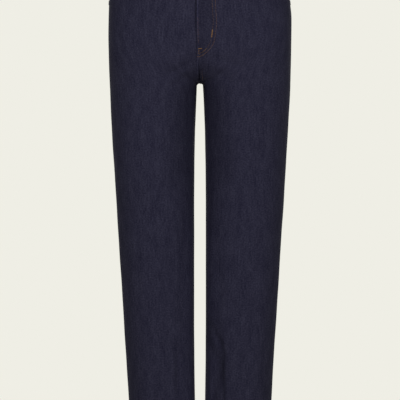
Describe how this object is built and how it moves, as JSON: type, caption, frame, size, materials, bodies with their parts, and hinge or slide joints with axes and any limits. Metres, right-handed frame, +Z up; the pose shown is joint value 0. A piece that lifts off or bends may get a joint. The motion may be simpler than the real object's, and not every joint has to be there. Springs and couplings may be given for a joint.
{
  "type": "straight leg jeans",
  "caption": "Straight-leg jeans in dark raw denim, hollow and filled out as worn, with a closed zip fly, belt loops, scoop front pockets, back yokes, plain back patch pockets and turned hems.",
  "frame": {"origin": "middle of the waistband, halfway up it at the sides, where the wearer's waist holds it", "axes": "+Z up along the legs towards the waist, front towards -Y, +X towards the wearer's left"},
  "size_m": [0.3644, 0.2512, 0.9793],
  "materials": {
    "denim": "unwashed dark indigo twill with fine lengthwise slubs",
    "pocket_twill": "undyed light cotton twill",
    "zip_tape": "woven navy cotton tape",
    "copper": "aged copper-coloured metal",
    "thread": "tobacco cotton-wrapped topstitching thread"
  },
  "bodies": {
    "root": {"front_left": "denim", "front_right": "denim", "back_left": "denim", "back_right": "denim", "yoke_left": "denim", "yoke_right": "denim", "pocket_facing_left": "denim", "pocket_facing_right": "denim", "pocket_bag_left": "pocket_twill", "pocket_bag_right": "pocket_twill", "back_pocket_left": "denim", "back_pocket_right": "denim", "hem_turn_up_left": "denim", "hem_turn_up_right": "denim", "fly_facing": "denim", "fly_shield": "denim", "zip_tape": "zip_tape", "zip_slider": "copper", "waistband": "denim", "belt_loop_front_left": "denim", "belt_loop_front_right": "denim", "belt_loop_back_left": "denim", "belt_loop_back_right": "denim", "belt_loop_centre_back": "denim", "button": "copper"}
  },
  "joints": []
}
